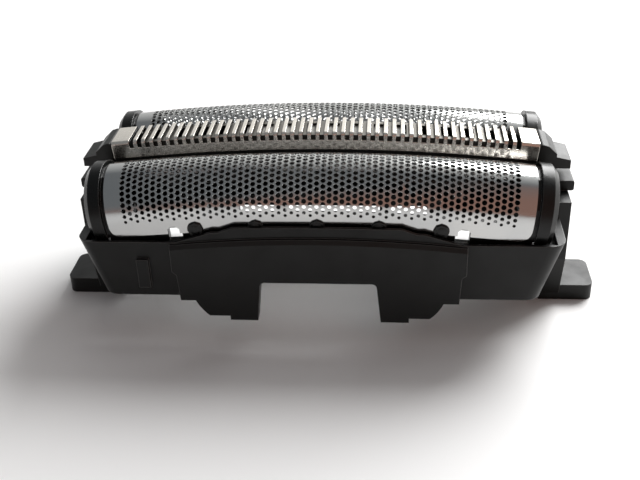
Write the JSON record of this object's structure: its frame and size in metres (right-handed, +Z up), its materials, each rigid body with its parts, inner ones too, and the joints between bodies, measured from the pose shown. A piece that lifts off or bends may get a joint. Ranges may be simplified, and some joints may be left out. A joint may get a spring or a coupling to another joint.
{
  "type": "shaver foil head",
  "caption": "Electric shaver head: arched perforated foils that float beside a sprung slotted trimmer in a moulded frame.",
  "frame": {"origin": "middle of the footprint, on the surface that the two side ears rest on", "axes": "+X along the foils, -Y to the front skirt that has the taller window, +Z up to the foils"},
  "size_m": [0.0574, 0.024, 0.0189],
  "materials": {
    "frame_plastic": "satin moulded",
    "carrier_plastic": "semi-gloss moulded",
    "trimmer_plastic": "satin moulded",
    "driver_plastic": "natural",
    "foil_steel": "bright",
    "comb_steel": "ground",
    "blade_steel": "ground",
    "spring_steel": "drawn"
  },
  "bodies": {
    "frame": {"frame": "frame_plastic", "trimmer_spring_left": "spring_steel", "trimmer_spring_right": "spring_steel"},
    "front_foil_unit": {"front_foil": "foil_steel", "front_foil_carrier": "carrier_plastic"},
    "rear_foil_unit": {"rear_foil": "foil_steel", "rear_foil_carrier": "carrier_plastic"},
    "trimmer_unit": {"trimmer_comb": "comb_steel", "trimmer_carrier": "trimmer_plastic"},
    "trimmer_blade_unit": {"trimmer_blade": "blade_steel", "trimmer_driver": "driver_plastic"}
  },
  "joints": [
    {"name": "front_foil_float", "type": "slide", "parent": "frame", "child": "front_foil_unit", "axis": [0, 0, 1], "range_m": [0, 0.0012]},
    {"name": "rear_foil_float", "type": "slide", "parent": "frame", "child": "rear_foil_unit", "axis": [0, 0, 1], "range_m": [0, 0.0012]},
    {"name": "trimmer_float", "type": "slide", "parent": "frame", "child": "trimmer_unit", "axis": [0, 0, 1], "range_m": [-0.001, 0], "stiffness_N_per_m": 100, "springref_m": 0.0005, "deforming": ["trimmer_spring_left", "trimmer_spring_right"]},
    {"name": "trimmer_stroke", "type": "slide", "parent": "trimmer_unit", "child": "trimmer_blade_unit", "axis": [1, 0, 0], "range_m": [-0.0012, 0.0012]}
  ]
}
